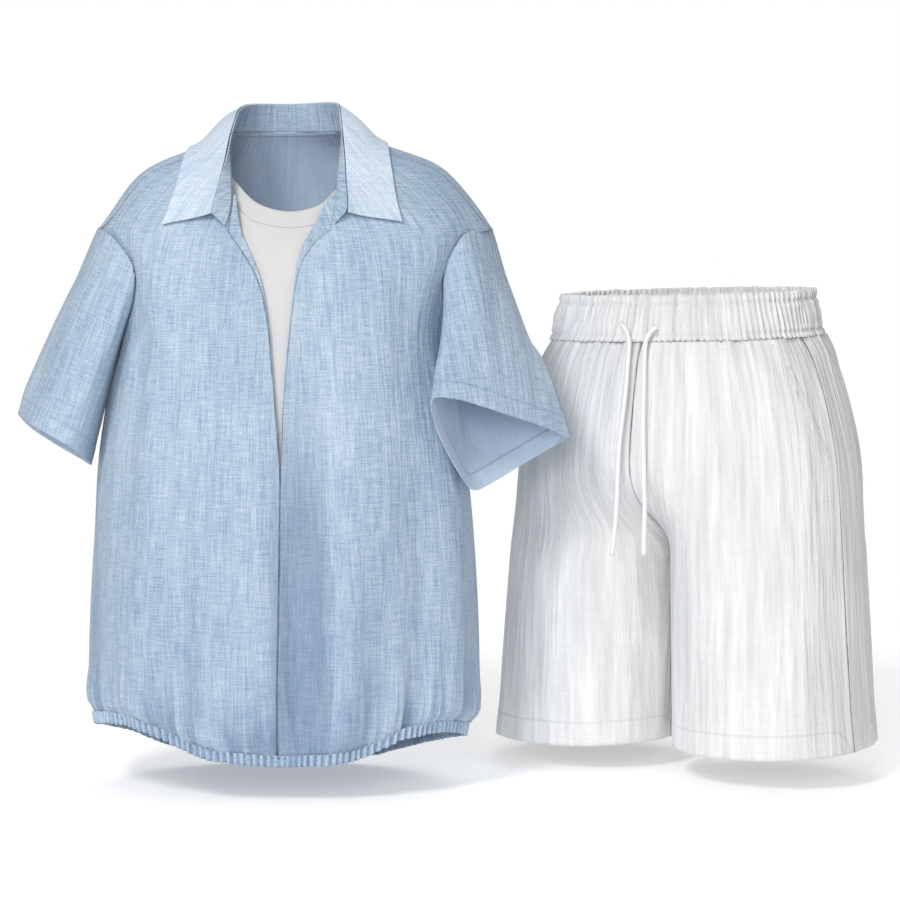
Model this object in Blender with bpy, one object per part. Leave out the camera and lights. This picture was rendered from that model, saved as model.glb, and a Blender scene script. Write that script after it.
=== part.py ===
"""A co-ord set: a short-sleeved popover shirt with a mock tee in its V, and drawstring shorts.

Both garments keep the hollow form they have when worn. Lengths are in millimetres until the
meshes are made: x to the viewer's right, y away from the viewer, and drop downwards from the
back of the neck. The outlines are sizes as seen from VIEW_DISTANCE, a little above, and true()
takes that view's perspective out, so that hems come out level and far sides come out full size.
"""

import math

import bpy
import numpy as np

for old in list(bpy.data.objects):
    bpy.data.objects.remove(old)

MM = 0.001
VIEW_DISTANCE = 3200.0
VIEW_TILT = math.radians(5.0)
VIEW_CENTRE_X = 180.0
VIEW_CENTRE_DROP = 348.0

SEAM_GAP = 0.36
HEM_SEAM_GAP = 1.5
SHIRT_CLOTH = 1.2
FACING_CLOTH = 1.0
TEE_CLOTH = 1.2
SHORTS_CLOTH = 1.4
BAND_CLOTH = 2.0
ROUNDNESS = 2.3

LEVEL_END = 557.0
HEM_SECTION = 640.0
FOLD_REACH = 120.0
SLEEVE_CLEARANCE = 4.0
COLLAR_CLEARANCE = 4.0
COLLAR_SEAM_STEP = 2.3
CLEARING_STEPS = 5

HEM_BAND_HEIGHT = 13.0
HEM_GATHERS = 112
GATHER_RISE = 1.3

SHORTS_CENTRE_X = 446.0
SHORTS_CENTRE_Y = 112.0
SHORTS_TURN = math.radians(33.0)
SHORTS_DROP = 175.0
SHORTS_LENGTH = 508.0
SHORTS_SLANT = 0.035
SIDE_SEAM_FORWARD = 10.0
WAISTBAND_HEIGHT = 51.0
WAIST_GATHERS = 84
CORD_DIAMETER = 5.4
CORD_POINT_SPACING = 13.0


class Table:
    """Rows of sizes under named columns, read smoothly from the first column."""

    def __init__(self, columns, rows):
        self.names = columns.split()
        self.rows = np.array(rows, float)

    def column(self, name):
        return self.rows[:, self.names.index(name)]

    def at(self, name, where):
        return smooth(self.rows[:, 0], self.column(name), where)


def smooth(stations, values, where):
    """A curve through the values that never overshoots them, held level past its ends."""
    where = np.clip(np.asarray(where, float), stations[0], stations[-1])
    step = np.diff(stations)
    slope = np.diff(values) / step
    tangent = np.zeros(len(values))
    tangent[0] = slope[0]
    tangent[-1] = slope[-1]
    before = slope[:-1]
    after = slope[1:]
    same_way = before * after > 0
    tangent[1:-1][same_way] = 2 / (1 / before[same_way] + 1 / after[same_way])
    index = np.clip(np.searchsorted(stations, where, side="right") - 1, 0, len(step) - 1)
    width = step[index]
    t = (where - stations[index]) / width
    rise = (
        values[index] * (1 + 2 * t) * (1 - t) ** 2
        + values[index + 1] * t * t * (3 - 2 * t)
        + width * tangent[index] * t * (1 - t) ** 2
        - width * tangent[index + 1] * t * t * (1 - t)
    )
    return rise


def fade(where, start, end):
    """0 before start, 1 past end, and an even S-shaped change between."""
    t = np.clip((np.asarray(where, float) - start) / (end - start), 0, 1)
    return t * t * (3 - 2 * t)


# The shirt's body is a ring at each drop, deeper behind than in front where the neck is.
BODY = Table(
    "drop centre half_width front back",
    (
        (-2, 1, 67, 9, 61),
        (4, 3, 78, 15, 65),
        (12, 8, 100, 25, 72),
        (20, 10, 122, 32, 77),
        (28, 11, 145, 40, 82),
        (40, 9, 167, 52, 88),
        (54, 9, 181, 64, 95),
        (78, 11, 198, 82, 104),
        (108, 10, 218, 98, 111),
        (152, 4, 205, 111, 115),
        (183, -1, 193, 116, 115),
        (238, -4, 182, 121, 114),
        (305, -4, 192, 125, 115),
        (366, -4, 201, 128, 117),
        (469, -5, 207, 130, 120),
        (557, -5, 210, 131, 122),
        (612, -5, 209, 129, 122),
        (640, -5, 206, 126, 120),
        (668, -5, 201, 122, 117),
        (700, -5, 197, 118, 114),
    ),
)

# Soft upright folds in the shirt's body: where they run and how far they stand out or in.
BODY_FOLDS = Table(
    "degrees top bottom width height",
    (
        (28, 60, 260, 9, -5),
        (152, 60, 260, 9, -5),
        (52, 380, 700, 8, 3),
        (75, 430, 700, 7, 3),
        (112, 400, 700, 8, 3),
        (134, 450, 700, 7, 3),
        (215, 140, 420, 10, -4),
        (325, 140, 420, 10, -4),
        (235, 430, 700, 8, 3),
        (262, 400, 700, 8, 3),
        (288, 430, 700, 8, 3),
        (310, 400, 700, 8, 3),
    ),
)

# The slit's two edges: the neck seam, then the V, then the seam down the middle of the front.
FRONT_EDGE = Table(
    "drop left right",
    (
        (-2, -59.5, 60.5),
        (29, -61, 57),
        (67, -58, 54),
        (89, -61, 52),
        (104, -66, 50),
        (114, -59, 36),
        (128, -49.5, 24),
        (141, -41, 15.5),
        (151, -35, 13),
        (172, -27.5, 9),
        (210, -20, 4.5),
        (268, -15.5, -1.5),
        (337, -9, -5.5),
        (364, -6.6, -6.6),
        (469, -7.7, -7.7),
        (620, -10, -10),
        (700, -11, -11),
    ),
)

# How far inside the outline the front's outer seam lies: the shoulder seam, then the armhole.
FRONT_SEAM = Table(
    "drop left right",
    (
        (-2, 2.5, 2.5),
        (4, 6, 6),
        (12, 15, 15),
        (20, 24, 24),
        (28, 20, 20),
        (40, 9, 9),
        (60, 8, 8),
        (84, 7, 7),
        (106, 3, 3),
        (111, 9, 22),
        (118, 14, 29),
        (130, 19, 31),
        (152, 26, 27),
        (183, 17, 12),
        (210, 9, 5),
        (238, 0, 0),
    ),
)
BACK_ARMHOLE = Table(
    "drop inset",
    ((108, 0), (111, 8), (118, 14), (130, 19), (152, 23), (183, 16), (210, 8), (238, 0)),
)
SHOULDER_TIP = 107.5
UNDERARM = 238.0

# The top of the hem band and the back's lower edge, which both dip between the sides.
HEM = Table(
    "x front back",
    (
        (-215, 634, 635),
        (-179, 638, 641),
        (-150, 648, 652),
        (-119, 664, 662),
        (-91, 675, 670),
        (-57, 681, 675),
        (-5, 684, 677),
        (50, 682, 676),
        (81, 676, 673),
        (105, 666, 669),
        (128, 654, 663),
        (151, 649, 657),
        (177, 645, 652),
        (205, 647, 648),
    ),
)


def ring_point(angle, centre, half_width, front, back):
    """A point of a rounded section: angle 0 at the viewer's right, a quarter turn in front."""
    power = 2 / ROUNDNESS
    across = np.cos(angle)
    ahead = np.sin(angle)
    x = centre + half_width * np.sign(across) * np.abs(across) ** power
    depth = np.where(ahead > 0, front, back)
    y = -depth * np.sign(ahead) * np.abs(ahead) ** power
    return x, y


def fold_height(angle, drop):
    """How far the body's soft folds stand out at this place."""
    height = np.zeros(np.broadcast(angle, drop).shape)
    for degrees, top, bottom, width, rise in BODY_FOLDS.rows:
        middle = (top + bottom) / 2
        along = fade(drop, top, middle) * (1 - fade(drop, middle + 0.6 * (bottom - middle), bottom + 1))
        if bottom >= BODY.rows[-1, 0]:
            along = fade(drop, top, 0.8 * bottom)
        turn = (np.degrees(angle) - degrees) / width
        height = height + rise * along * np.exp(-turn * turn)
    return height


def body_point(angle, drop):
    angle = np.asarray(angle, float)
    out = 1 + fold_height(angle, drop) / FOLD_REACH
    x, y = ring_point(
        angle,
        0,
        BODY.at("half_width", drop),
        BODY.at("front", drop),
        BODY.at("back", drop),
    )
    return np.stack([BODY.at("centre", drop) + x * out, y * out, -drop + 0 * x], -1)


def normals_from(point_at, first, second):
    """Normals of a surface given by a function of two values, by central differences."""
    step = 0.004
    tall_step = 1.0
    across = point_at(first + step, second) - point_at(first - step, second)
    down = point_at(first, second + tall_step) - point_at(first, second - tall_step)
    normal = np.cross(across, down)
    return normal / np.linalg.norm(normal, axis=-1, keepdims=True)


def body_normal(angle, drop):
    return normals_from(body_point, np.asarray(angle, float), np.asarray(drop, float) + 0 * angle)


def angle_at(x, drop):
    """The angle at which the front of the body has this x."""
    share = (x - BODY.at("centre", drop)) / BODY.at("half_width", drop)
    share = np.clip(share, -1, 1)
    return np.arccos(np.sign(share) * np.abs(share) ** (ROUNDNESS / 2))


def angle_inside(inset, drop):
    """The angle from the outline to a place that lies so far inside it, seen from the front."""
    share = 1 - np.abs(inset) / BODY.at("half_width", drop)
    return np.sign(inset) * np.arccos(share ** (ROUNDNESS / 2))


def hem_top(angle, row):
    """The drop of the hem band's upper edge at this angle."""
    x, _ = ring_point(angle, BODY.at("centre", HEM_SECTION), BODY.at("half_width", HEM_SECTION), 1, 1)
    front = HEM.at("front", x)
    back = HEM.at("back", x)
    return np.where(np.sin(angle) > 0, front, back) + row


def body_share(points):
    """Below 1 in the body, 1 on its surface and more outside it."""
    drop = -points[..., 2]
    x = (points[..., 0] - BODY.at("centre", drop)) / BODY.at("half_width", drop)
    depth = np.where(points[..., 1] < 0, BODY.at("front", drop), BODY.at("back", drop))
    y = points[..., 1] / depth
    return (np.abs(x) ** ROUNDNESS + np.abs(y) ** ROUNDNESS) ** (1 / ROUNDNESS)


def clear_of_body(points, gap):
    """Points moved straight out from the body's surface where they lie in it or near to it."""
    points = points.copy()
    for _ in range(CLEARING_STEPS):
        share = body_share(points)
        ways = [(body_share(points + move) - body_share(points - move)) / 2 for move in np.eye(3)]
        slope = np.stack(ways, -1)
        steepness = np.maximum(np.linalg.norm(slope, axis=-1), 0.002)
        short = np.clip(gap - (share - 1) / steepness, 0, 4 * gap)
        points = points + slope * (short / steepness)[..., None]
    return points


def numeric_normals(grid, wrap, hub):
    """Normals of a grid of points, turned away from the hub points, one for each row."""
    if wrap:
        along = np.roll(grid, -1, axis=1) - np.roll(grid, 1, axis=1)
    else:
        along = np.gradient(grid, axis=1)
    down = np.gradient(grid, axis=0)
    normal = np.cross(along, down)
    normal /= np.linalg.norm(normal, axis=-1, keepdims=True)
    outward = np.sum(normal * (grid - hub))
    return normal if outward > 0 else -normal


def pulled_in(grid, sides):
    """The grid with the named edges drawn in along the cloth by half of the seam's gap."""
    grid = grid.copy()
    edges = {
        "top": ((0,), (1,)),
        "bottom": ((-1,), (-2,)),
        "start": ((slice(None), 0), (slice(None), 1)),
        "end": ((slice(None), -1), (slice(None), -2)),
    }
    for side in sides.split():
        edge, neighbour = edges[side]
        inward = grid[neighbour] - grid[edge]
        length = np.linalg.norm(inward, axis=-1, keepdims=True)
        grid[edge] = grid[edge] + inward * (SEAM_GAP / 2) / length
    return grid


def true(points):
    """Places seen in the view's own plane, taken back to where they are by their depth."""
    right = points[..., 0] - VIEW_CENTRE_X
    up = points[..., 2] + VIEW_CENTRE_DROP
    cos = math.cos(VIEW_TILT)
    sin = math.sin(VIEW_TILT)
    eye_y = -VIEW_DISTANCE * cos
    eye_z = -VIEW_CENTRE_DROP + VIEW_DISTANCE * sin
    reach = (points[..., 1] - eye_y) / (VIEW_DISTANCE * cos + up * sin)
    x = VIEW_CENTRE_X + reach * right
    z = eye_z + reach * (up * cos - VIEW_DISTANCE * sin)
    return np.stack([x, points[..., 1], z], -1)


def seen(points):
    """The other way: where the view sees a true place, keeping its depth."""
    cos = math.cos(VIEW_TILT)
    sin = math.sin(VIEW_TILT)
    across = points[..., 0] - VIEW_CENTRE_X
    ahead = points[..., 1] + VIEW_DISTANCE * cos
    above = points[..., 2] + VIEW_CENTRE_DROP - VIEW_DISTANCE * sin
    shrink = VIEW_DISTANCE / (ahead * cos - above * sin)
    x = VIEW_CENTRE_X + across * shrink
    z = (ahead * sin + above * cos) * shrink - VIEW_CENTRE_DROP
    return np.stack([x, points[..., 1], z], -1)


ORIGIN = true(np.zeros(3))


def material(name, colour, roughness):
    made = bpy.data.materials.new(name)
    made.use_nodes = True
    shader = made.node_tree.nodes["Principled BSDF"]
    shader.inputs["Base Color"].default_value = (*colour, 1)
    shader.inputs["Roughness"].default_value = roughness
    shader.inputs["Metallic"].default_value = 0
    return made


def add_wall(name, outer, normals, thickness, finish, wrap=False):
    """One piece of cloth: outer points, the same points a cloth's thickness in, and a rim."""
    rows, columns = outer.shape[:2]
    inner = outer - normals * thickness
    points = (true(np.concatenate([outer.reshape(-1, 3), inner.reshape(-1, 3)])) - ORIGIN) * MM
    back = rows * columns
    last = columns if wrap else columns - 1
    faces = []
    for row in range(rows - 1):
        for column in range(last):
            beside = (column + 1) % columns
            a = row * columns + column
            b = row * columns + beside
            c = (row + 1) * columns + beside
            d = (row + 1) * columns + column
            # Both faces of the cloth take the same, shorter diagonal, so that they stay parallel.
            if np.linalg.norm(points[a] - points[c]) < np.linalg.norm(points[b] - points[d]):
                halves = ((a, b, c), (a, c, d))
            else:
                halves = ((a, b, d), (b, c, d))
            for one, two, three in halves:
                faces.append((one, two, three))
                faces.append((three + back, two + back, one + back))
    rim = []
    foot = (rows - 1) * columns
    for column in range(last):
        beside = (column + 1) % columns
        rim.append((beside, column, column + back, beside + back))
        rim.append((foot + column, foot + beside, foot + beside + back, foot + column + back))
    if not wrap:
        for row in range(rows - 1):
            a = row * columns
            b = (row + 1) * columns
            rim.append((a, b, b + back, a + back))
            far_a = a + columns - 1
            far_b = b + columns - 1
            rim.append((far_b, far_a, far_a + back, far_b + back))
    for a, b, c, d in rim:
        faces.append((a, b, c))
        faces.append((a, c, d))
    if np.linalg.det(points[np.array(faces)] - points.mean(axis=0)).sum() < 0:
        faces = [face[::-1] for face in faces]
    mesh = bpy.data.meshes.new(name)
    mesh.from_pydata(points.tolist(), [], faces)
    mesh.materials.append(finish)
    mesh.shade_smooth()
    mesh.set_sharp_from_angle(angle=math.radians(50))
    piece = bpy.data.objects.new(name, mesh)
    bpy.context.scene.collection.objects.link(piece)
    return piece


BLUE = material("blue_chambray", (0.42, 0.62, 0.83), 0.85)
BLUE_BAND = material("blue_chambray_band", (0.40, 0.60, 0.82), 0.85)
WHITE_JERSEY = material("white_jersey", (0.88, 0.88, 0.88), 0.8)
WHITE_CRINKLE = material("white_crinkle", (0.86, 0.86, 0.86), 0.85)
WHITE_CORD = material("white_cord", (0.86, 0.86, 0.86), 0.8)

# Rows of the body panels, from the neck down: level ones, then ones that follow the hem.
LEVEL_ROWS = (
    -2, 4, 12, 20, 30, 42, 60, 84, 106, 111, 118, 130, 145, 163, 185, 210, 238, 300, 364, 435, 500,
    LEVEL_END,
)
HEM_ROWS = (0.35, 0.7, 1.0)


def row_drops(angle, level):
    """The drop of a row at this angle, level for whole rows and towards the hem for shares."""
    if not near_hem(level):
        return level + 0 * angle
    return LEVEL_END + level * (hem_top(angle, -HEM_SEAM_GAP) - LEVEL_END)


def near_hem(level):
    return 0 < level <= 1


def body_rows():
    return [*LEVEL_ROWS, *HEM_ROWS]


def front_panel(side):
    """One front: each row runs from the slit or the middle seam to the outer seam."""
    columns = 12
    sign = -1 if side == "left" else 1
    angles = []
    drops = []
    for level in body_rows():
        at = HEM_SECTION if near_hem(level) else level
        inner = angle_at(FRONT_EDGE.at(side, at), at)
        outer = angle_inside(FRONT_SEAM.at(side, at), at)
        outer = math.pi - outer if sign < 0 else outer
        row = inner + (outer - inner) * np.linspace(0, 1, columns)
        angles.append(row)
        drops.append(row_drops(row, level))
    return np.array(angles), np.array(drops)


def back_inset(side, drop):
    """The back's outer seam: ahead of the ridge on the shoulder, behind it at the armhole."""
    if drop < SHOULDER_TIP:
        return FRONT_SEAM.at(side, drop)
    return -BACK_ARMHOLE.at("inset", drop)


def back_panel():
    columns = 25
    angles = []
    drops = []
    for level in body_rows():
        at = HEM_SECTION if near_hem(level) else level
        left = math.pi - angle_inside(back_inset("left", at), at)
        right = 2 * math.pi + angle_inside(back_inset("right", at), at)
        row = left + (right - left) * np.linspace(0, 1, columns)
        angles.append(row)
        drops.append(row_drops(row, level))
    return np.array(angles), np.array(drops)


for side, name in (("left", "shirt_front_right"), ("right", "shirt_front_left")):
    angle, drop = front_panel(side)
    grid = pulled_in(body_point(angle, drop), "top start end")
    add_wall(name, grid, body_normal(angle, drop), SHIRT_CLOTH, BLUE)

angle, drop = back_panel()
grid = pulled_in(body_point(angle, drop), "top start end")
add_wall("shirt_back", grid, body_normal(angle, drop), SHIRT_CLOTH, BLUE)


def add_hem_band():
    """A ring gathered on elastic, with two points to each gather."""
    angle = np.linspace(0, 2 * math.pi, 2 * HEM_GATHERS, endpoint=False)
    wave = GATHER_RISE * np.where(np.arange(len(angle)) % 2, 1, -1)[:, None]
    outer = []
    normals = []
    for row in (SEAM_GAP, HEM_BAND_HEIGHT):
        drop = hem_top(angle, row)
        normal = body_normal(angle, drop)
        outer.append(body_point(angle, drop) + normal * (wave + BAND_CLOTH / 2))
        normals.append(normal)
    add_wall("shirt_hem_band", np.array(outer), np.array(normals), BAND_CLOTH, BLUE_BAND, wrap=True)


add_hem_band()

# The cuffs, seen as rings from the top round the front to the underarm and back.
LEFT_CUFF = Table(
    "share x y drop",
    (
        (0.0, -299, 10, 304),
        (0.125, -284, -48, 318),
        (0.25, -251, -74, 337),
        (0.375, -221, -48, 356),
        (0.5, -211, 12, 367),
        (0.625, -221, 70, 360),
        (0.75, -251, 94, 343),
        (0.875, -284, 68, 321),
        (1.0, -299, 10, 304),
    ),
)
RIGHT_CUFF = Table(
    "share x y drop",
    (
        (0.0, 313.5, -50, 332),
        (0.1, 279, -78, 320),
        (0.2, 224, -106, 302),
        (0.3, 177, -124, 289),
        (0.36, 154, -127, 288),
        (0.42, 156, -122, 312),
        (0.5, 171, -108, 342),
        (0.6, 192, -80, 375),
        (0.66, 200, -58, 397),
        (0.74, 222, -32, 386),
        (0.85, 262, -18, 362),
        (0.94, 300, -34, 340),
        (1.0, 313.5, -50, 332),
    ),
)
ARMHOLE_DROPS = (111, 118, 130, 145, 163, 185, 210)
SLEEVE_ROWS = (0.0, 0.14, 0.32, 0.54, 0.78, 1.0)
SLEEVE_BULGE = {"left": 5.0, "right": 3.0}


def armhole(side):
    """The armhole's ring of points, from the shoulder tip down the front and up the back."""
    sign = -1 if side == "left" else 1
    down = np.array(ARMHOLE_DROPS, float)
    up = down[::-1]
    front = angle_inside(FRONT_SEAM.at(side, down), down)
    back = -angle_inside(BACK_ARMHOLE.at("inset", up), up)
    inside = np.concatenate([[0], front, [0], back])
    drop = np.concatenate([[SHOULDER_TIP], down, [UNDERARM], up])
    angle = np.pi - inside if sign < 0 else inside
    return body_point(angle, drop), body_normal(angle, drop)


def shares_round(ring):
    """How far round a closed ring each of its points lies, from 0 to 1, by halves."""
    length = np.linalg.norm(np.roll(ring, -1, axis=0) - ring, axis=-1)
    travelled = np.concatenate([[0], np.cumsum(length)[:-1]])
    half = len(ring) // 2
    front = 0.5 * travelled / travelled[half]
    back = 0.5 + 0.5 * (travelled - travelled[half]) / (length.sum() - travelled[half])
    return np.where(np.arange(len(ring)) < half, front, back)


def add_sleeve(side, name, cuff):
    ring, body_way = armhole(side)
    share = shares_round(ring)
    end = np.stack([cuff.at("x", share), cuff.at("y", share), -cuff.at("drop", share)], -1)
    along = end - ring
    along /= np.linalg.norm(along, axis=-1, keepdims=True)
    away = along + body_way
    away /= np.linalg.norm(away, axis=-1, keepdims=True)
    start = ring + away * 1.6 * SEAM_GAP
    rows = []
    for share_down in SLEEVE_ROWS:
        row = start + (end - start) * share_down
        hub = row.mean(axis=0)
        out = row - hub
        out /= np.linalg.norm(out, axis=-1, keepdims=True)
        row = row + out * SLEEVE_BULGE[side] * math.sin(math.pi * share_down)
        rows.append(clear_of_body(row, SLEEVE_CLEARANCE) if share_down > 0 else row)
    grid = np.array(rows)
    hub = grid.mean(axis=1, keepdims=True)
    add_wall(name, grid, numeric_normals(grid, True, hub), SHIRT_CLOTH, BLUE, wrap=True)


add_sleeve("left", "sleeve_right", LEFT_CUFF)
add_sleeve("right", "sleeve_left", RIGHT_CUFF)

# The collar, from its left front end round the neck: the roll line and the leaf's outer edge.
COLLAR = Table(
    "station seam_drop roll_x roll_y roll_drop edge_x edge_drop",
    (
        (0, 103, -82.5, -97, 86, -136, 101),
        (1, 80, -76, -82, 62, -126, 76),
        (2, 42, -68, -58, 35, -115, 40),
        (3, 16, -60, -32, 4, -109, 22),
        (4, -2, -51, 2, -27, -100, 16),
        (5, -2, -34, 42, -32, -66, 26),
        (6, -2, 4, 58, -32, 4, 28),
        (7, -2, 42, 42, -34, 74, 24),
        (8, -2, 57, 2, -32, 106, 10),
        (9, 16, 60, -32, -4, 112, 20),
        (10, 42, 64, -58, 40, 116, 44),
        (11, 78, 66, -82, 66, 121, 76),
        (12, 101, 66.5, -97, 84, 127, 98),
    ),
)
COLLAR_STEPS = 25
LEAF_ROWS = (0.0, 0.22, 0.5, 0.78, 1.0)
LEAF_LIFT = 4.0
BACK_NECK_DEGREES = (184, 222, 270, 318, 356)


def neck_seam(step):
    """The neck seam at a station of the collar, just off the body's surface."""
    drop = COLLAR.at("seam_drop", step)
    left = angle_at(FRONT_EDGE.at("left", drop), drop)
    right = angle_at(FRONT_EDGE.at("right", drop), drop) + 2 * math.pi
    corner_drop = COLLAR.at("seam_drop", np.array([3.0, 9.0]))
    first = angle_at(FRONT_EDGE.at("left", corner_drop[0]), corner_drop[0])
    last = angle_at(FRONT_EDGE.at("right", corner_drop[1]), corner_drop[1]) + 2 * math.pi
    behind = [first, *np.radians(BACK_NECK_DEGREES), last]
    round_back = smooth(np.arange(3.0, 10.0), np.array(behind), step)
    angle = np.where(step < 3, left, np.where(step > 9, right, round_back))
    return body_point(angle, drop) + body_normal(angle, drop) * 2 * SEAM_GAP


def add_collar():
    step = np.linspace(0, 12, COLLAR_STEPS)
    seam = neck_seam(step)
    roll = np.stack([COLLAR.at(name, step) for name in ("roll_x", "roll_y", "roll_drop")], -1)
    roll[:, 2] *= -1
    stand = np.array([seam + (roll - seam) * share for share in (0.0, 0.5, 1.0)])
    up = (roll - seam) / np.linalg.norm(roll - seam, axis=-1, keepdims=True)
    stand[0] = stand[0] + up * COLLAR_SEAM_STEP
    hub = np.array([0.0, 20.0, 0.0]) + stand * np.array([0.0, 0.0, 1.0])
    outside = numeric_normals(stand, False, hub)
    add_wall("collar_stand", stand + outside * SHIRT_CLOTH, outside, SHIRT_CLOTH, BLUE)

    edge_x = COLLAR.at("edge_x", step)
    edge_drop = COLLAR.at("edge_drop", step)
    edge = np.stack([edge_x, roll[:, 1], -edge_drop], -1)
    front = angle_at(edge_x, edge_drop)
    behind = (step > 3.8) & (step < 8.2)
    edge[:, 1] = body_point(np.where(behind, 2 * np.pi - front, front), edge_drop)[:, 1]
    start = roll + outside[-1] * (2 * SHIRT_CLOTH + 2 * SEAM_GAP)
    rows = []
    for share in LEAF_ROWS:
        row = start + (edge - start) * share
        lift = LEAF_LIFT * math.sin(math.pi * min(share * 1.25, 1)) ** 0.7 if share < 0.8 else 0
        row = row + outside[-1] * lift
        if share > 0:
            row = clear_of_body(row, COLLAR_CLEARANCE)
        rows.append(row)
    leaf = np.array(rows)
    hub = np.array([0.0, 20.0, 0.0]) + leaf * np.array([0.0, 0.0, 1.0])
    add_wall("collar_fall", leaf, numeric_normals(leaf, False, hub), SHIRT_CLOTH, BLUE)


add_collar()

# How far each turned-in facing leans into the V past the front's edge.
FACING = Table(
    "drop left right",
    (
        (56, 1, 2),
        (79, 4, 12),
        (92, 9, 18),
        (104, 15, 24),
        (114, 12, 15),
        (128, 9, 9),
        (141, 6, 4),
        (165, 2.5, 1.5),
        (200, 1, 1),
        (352, 0.6, 0.6),
    ),
)
FACING_UNDER = 9.0
FACING_DEPTH = 0.35
FACING_DROPS = (66, 79, 92, 104, 114, 128, 141, 155, 175, 210, 255, 300, 330)


def add_facing(side, name):
    """A narrow strip behind the front's edge, made from the front's own points, moved in."""
    inward = 1 if side == "left" else -1
    drop = np.array(FACING_DROPS, float)
    lean = FACING.at(side, drop)
    under = FRONT_EDGE.at(side, drop) - inward * FACING_UNDER
    edge = FRONT_EDGE.at(side, drop)
    tip = edge + inward * lean
    columns = []
    behind = np.full(len(drop), SHIRT_CLOTH + 2.4 * SEAM_GAP)
    tip_behind = behind + FACING_DEPTH * lean
    for x, back_by in ((under, behind), (edge, behind), (tip, tip_behind)):
        angle = angle_at(x, drop)
        columns.append(body_point(angle, drop) - body_normal(angle, drop) * back_by[:, None])
    grid = np.stack(columns, axis=1)
    angle = angle_at(edge, drop)
    normals = np.repeat(body_normal(angle, drop)[:, None], 3, axis=1)
    add_wall(name, grid, normals, FACING_CLOTH, BLUE)


add_facing("left", "facing_right")
add_facing("right", "facing_left")

TEE_NECK = Table(
    "x drop",
    (
        (-72, 27),
        (-61.6, 37),
        (-48, 55),
        (-33, 68.5),
        (-14, 76),
        (5, 79),
        (22, 76),
        (38.5, 70),
        (54, 54),
        (66, 37),
    ),
)
TEE_BAND = 19.0
TEE_BOTTOM = 378.0
TEE_MARGIN = 11.0
TEE_BEHIND = 5.6
TEE_COLUMNS = 13
TEE_ROWS = (0.0, 0.06, 0.13, 0.21, 0.3, 0.42, 0.56, 0.7, 0.85, 1.0)


def tee_point(x, drop, out=0.0):
    angle = angle_at(x, drop)
    behind = TEE_BEHIND + 10 * (1 - fade(drop, 60, 190)) - out
    return body_point(angle, drop) - body_normal(angle, drop) * behind[..., None]


def add_tee():
    """The mock tee's front, behind the V, and the band round its neck."""
    across = np.linspace(0, 1, TEE_COLUMNS)
    top_x = TEE_NECK.rows[0, 0] + (TEE_NECK.rows[-1, 0] - TEE_NECK.rows[0, 0]) * across
    neck = TEE_NECK.at("drop", top_x)
    slope = np.gradient(neck, top_x)
    band = TEE_BAND * np.sqrt(1 + np.minimum(slope * slope, 0.8))
    left = FRONT_EDGE.at("left", TEE_BOTTOM) - TEE_MARGIN
    right = FRONT_EDGE.at("right", TEE_BOTTOM) + TEE_MARGIN
    rows = []
    normals = []
    for down in TEE_ROWS:
        drop = neck + band + (TEE_BOTTOM - neck - band) * down
        left_x = np.minimum(FRONT_EDGE.at("left", drop) - TEE_MARGIN, -17)
        right_x = np.maximum(FRONT_EDGE.at("right", drop) + TEE_MARGIN, 4)
        wide = np.clip(down / 0.3, 0, 1)
        x = top_x * (1 - wide) + wide * (left_x + (right_x - left_x) * across)
        x = np.clip(x, top_x[0], top_x[-1])
        rows.append(tee_point(x, drop))
        normals.append(body_normal(angle_at(x, drop), drop))
    add_wall("tee_front", np.array(rows), np.array(normals), TEE_CLOTH, WHITE_JERSEY)
    rows = []
    normals = []
    for share in (0.0, 0.5, 1.0):
        drop = neck + (band - 2 * SEAM_GAP) * share
        rows.append(tee_point(top_x, drop, 0.8))
        normals.append(body_normal(angle_at(top_x, drop), drop))
    add_wall("tee_neckband", np.array(rows), np.array(normals), TEE_CLOTH + 0.8, WHITE_JERSEY)


add_tee()

# The shorts' true sizes, drop from the waist: hip sections, then one leg's sections.
SHORTS = Table(
    "drop half_width hip_depth leg_centre leg_half_width leg_depth",
    (
        (0, 148, 93, 75, 73, 93),
        (26, 152, 97, 77, 75, 95),
        (51, 160, 104, 81, 79, 98),
        (73, 173, 112, 87, 86, 102),
        (130, 192, 124, 97, 95, 107),
        (210, 206, 131, 104, 102, 112),
        (305, 211, 128, 107, 105, 114),
        (405, 219, 124, 112, 109, 114),
        (508, 229, 121, 117, 113, 114),
    ),
)
# Soft folds down the shorts: the angle round a half, where each runs, and its height.
SHORTS_FOLDS = Table(
    "degrees top bottom width height",
    (
        (38, 60, 430, 9, 3),
        (66, 90, 508, 9, -4),
        (104, 180, 508, 12, 4),
        (142, 240, 508, 12, -4),
        (-40, 90, 508, 10, 3.5),
        (-85, 120, 508, 12, -3.5),
        (-130, 240, 508, 12, 4),
    ),
)
CROTCH_START = 185.0
CROTCH = 306.0


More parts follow.
